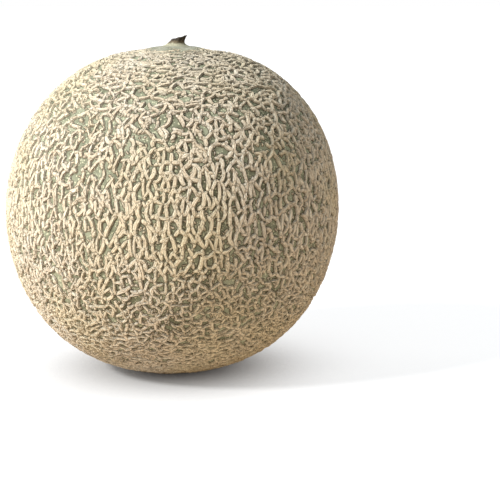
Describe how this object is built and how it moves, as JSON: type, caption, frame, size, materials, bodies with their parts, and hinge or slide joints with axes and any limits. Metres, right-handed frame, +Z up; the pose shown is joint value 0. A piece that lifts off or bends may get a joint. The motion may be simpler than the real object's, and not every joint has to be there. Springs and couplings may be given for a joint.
{
  "type": "netted cantaloupe melon",
  "caption": "Whole round netted melon with a dry stem stub on top, standing on a small flat spot.",
  "frame": {"origin": "middle of the flat resting spot under the fruit, on the surface it stands on", "axes": "+Z up along the fruit's axis to the stem end, +X the side that the stem end leans to, -Y the front"},
  "size_m": [0.1499, 0.15, 0.1501],
  "materials": {
    "netted_rind": "matte",
    "dry_stem": "matte"
  },
  "bodies": {
    "root": {"fruit": "netted_rind", "stem_stub": "dry_stem"}
  },
  "joints": []
}
